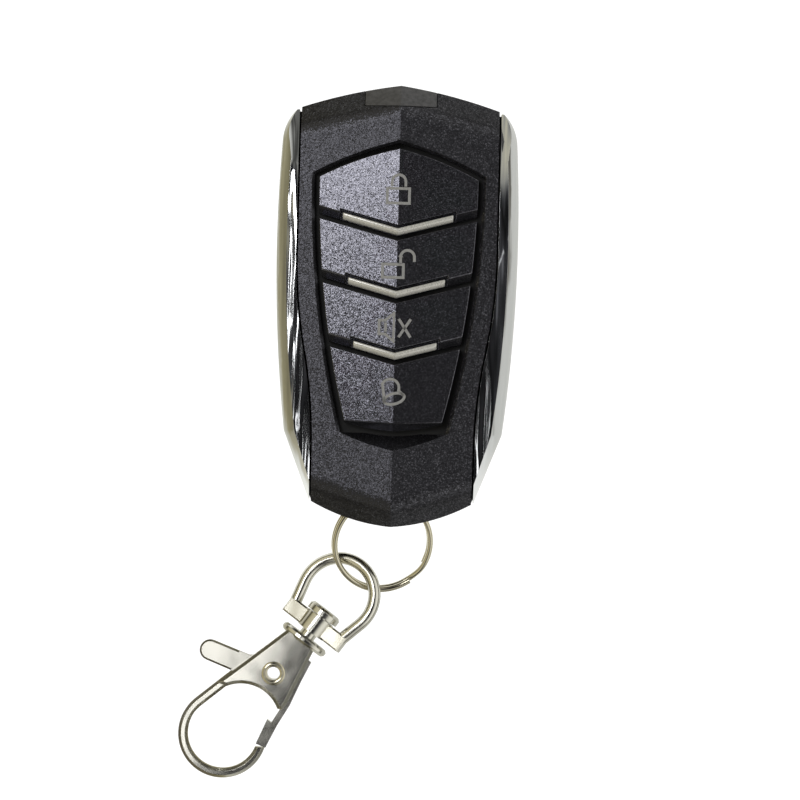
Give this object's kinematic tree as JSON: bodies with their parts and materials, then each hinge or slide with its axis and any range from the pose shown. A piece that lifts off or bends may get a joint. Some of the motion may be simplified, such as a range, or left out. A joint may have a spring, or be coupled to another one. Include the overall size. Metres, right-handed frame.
{
  "type": "car alarm remote",
  "caption": "Key-fob alarm remote with push keys, chrome side trims, split ring and a swivelling spring-gate lobster clasp.",
  "frame": {"origin": "centre of the flat back face that the remote lies on", "axes": "+Y towards the lamp end of the fob, +X to the right seen from the keys, +Z out of the key face"},
  "size_m": [0.0507, 0.1076, 0.0135],
  "materials": {
    "back_plastic": "spark-eroded black ABS",
    "flake_paint": "charcoal metallic flake paint on ABS",
    "key_paint": "graphite metallic flake paint on ABS",
    "trim_chrome": "chrome-plated ABS",
    "bar_chrome": "chrome-plated ABS",
    "smoke_lens": "smoked clear plastic",
    "silicone": "moulded silicone rubber",
    "board_laminate": "green masked glass-epoxy laminate",
    "cell_steel": "nickel-plated steel can",
    "spring_steel": "plain spring steel",
    "black_epoxy": "moulded epoxy",
    "can_metal": "plated steel can",
    "led_lens": "clear epoxy lens",
    "copper_wire": "enamelled copper wire",
    "screw_steel": "zinc-plated steel",
    "black_screw": "black-oxide steel",
    "switch_black": "moulded nylon",
    "plunger_plastic": "moulded acetal",
    "nickel": "nickel-plated steel",
    "nickel_cast": "nickel-plated zinc casting"
  },
  "bodies": {
    "fob": {"antenna_coil": "copper_wire", "board_screws": "screw_steel", "case_screws": "black_screw", "cell_clip": "spring_steel", "cell_contact": "spring_steel", "circuit_board": "board_laminate", "coin_cell": "cell_steel", "encoder_chip": "black_epoxy", "keypad_mat": "silicone", "led": "led_lens", "led_window": "smoke_lens", "lower_case": "back_plastic", "rf_resonator": "can_metal", "switch_bell": "switch_black", "switch_lock": "switch_black", "switch_mute": "switch_black", "switch_unlock": "switch_black", "trim_left": "trim_chrome", "trim_right": "trim_chrome", "upper_case": "flake_paint"},
    "button_lock": {"button_lock": "key_paint", "bar_lock": "bar_chrome"},
    "button_mute": {"button_mute": "key_paint", "bar_mute": "bar_chrome"},
    "button_unlock": {"button_unlock": "key_paint", "bar_unlock": "bar_chrome"},
    "button_bell": {"button_bell": "key_paint"},
    "clasp": {"clasp_body": "nickel_cast", "gate_spring": "spring_steel", "rivet": "nickel"},
    "gate_lever": {"gate_lever": "nickel_cast"},
    "plunger_bell": {"plunger_bell": "plunger_plastic"},
    "plunger_lock": {"plunger_lock": "plunger_plastic"},
    "plunger_mute": {"plunger_mute": "plunger_plastic"},
    "plunger_unlock": {"plunger_unlock": "plunger_plastic"},
    "ring_post": {"ring_post": "nickel"},
    "split_ring": {"split_ring": "nickel"},
    "swivel_bail": {"swivel_bail": "nickel_cast"}
  },
  "joints": [
    {"name": "press_lock", "type": "slide", "parent": "fob", "child": "button_lock", "axis": [0, 0, -1], "range_m": [0, 0.0003], "stiffness_N_per_m": 900, "springref_m": -0.0005, "deforming": ["keypad_mat"]},
    {"name": "click_lock", "type": "slide", "parent": "fob", "child": "plunger_lock", "axis": [0, 0, -1], "range_m": [0, 0.0003]},
    {"name": "press_unlock", "type": "slide", "parent": "fob", "child": "button_unlock", "axis": [0, 0, -1], "range_m": [0, 0.0003], "stiffness_N_per_m": 900, "springref_m": -0.0005, "deforming": ["keypad_mat"]},
    {"name": "click_unlock", "type": "slide", "parent": "fob", "child": "plunger_unlock", "axis": [0, 0, -1], "range_m": [0, 0.0003]},
    {"name": "press_mute", "type": "slide", "parent": "fob", "child": "button_mute", "axis": [0, 0, -1], "range_m": [0, 0.0003], "stiffness_N_per_m": 900, "springref_m": -0.0005, "deforming": ["keypad_mat"]},
    {"name": "click_mute", "type": "slide", "parent": "fob", "child": "plunger_mute", "axis": [0, 0, -1], "range_m": [0, 0.0003]},
    {"name": "press_bell", "type": "slide", "parent": "fob", "child": "button_bell", "axis": [0, 0, -1], "range_m": [0, 0.0003], "stiffness_N_per_m": 900, "springref_m": -0.0005, "deforming": ["keypad_mat"]},
    {"name": "click_bell", "type": "slide", "parent": "fob", "child": "plunger_bell", "axis": [0, 0, -1], "range_m": [0, 0.0003]},
    {"name": "ring_swing", "type": "hinge", "parent": "fob", "child": "ring_post", "pos_m": [0, -0.0317, 0.00478], "axis": [0, 0, 1], "range_deg": [-14, 22]},
    {"name": "ring_tilt", "type": "hinge", "parent": "ring_post", "child": "split_ring", "pos_m": [0.00028, -0.03053, 0.00508], "axis": [0.9722, -0.2341, 0], "range_deg": [-10, 3]},
    {"name": "bail_swing", "type": "hinge", "parent": "split_ring", "child": "swivel_bail", "pos_m": [-0.00535, -0.0411, 0.00284], "axis": [-0.832, 0.5547, 0.0026], "range_deg": [-14, 24]},
    {"name": "clasp_swivel", "type": "hinge", "parent": "swivel_bail", "child": "clasp", "pos_m": [-0.01195, -0.0506, 0.0029], "axis": [-0.5878, -0.809, 0], "continuous": true},
    {"name": "gate_open", "type": "hinge", "parent": "clasp", "child": "gate_lever", "pos_m": [-0.01749, -0.0572, 0.0029], "axis": [0, 0, -1], "range_deg": [0, 22], "stiffness_Nm_per_rad": 0.02, "springref_deg": -17.19, "deforming": ["gate_spring"]}
  ],
  "couplings": [
    {"joint": "click_lock", "follows": "press_lock", "ratio": 1},
    {"joint": "click_unlock", "follows": "press_unlock", "ratio": 1},
    {"joint": "click_mute", "follows": "press_mute", "ratio": 1},
    {"joint": "click_bell", "follows": "press_bell", "ratio": 1}
  ]
}
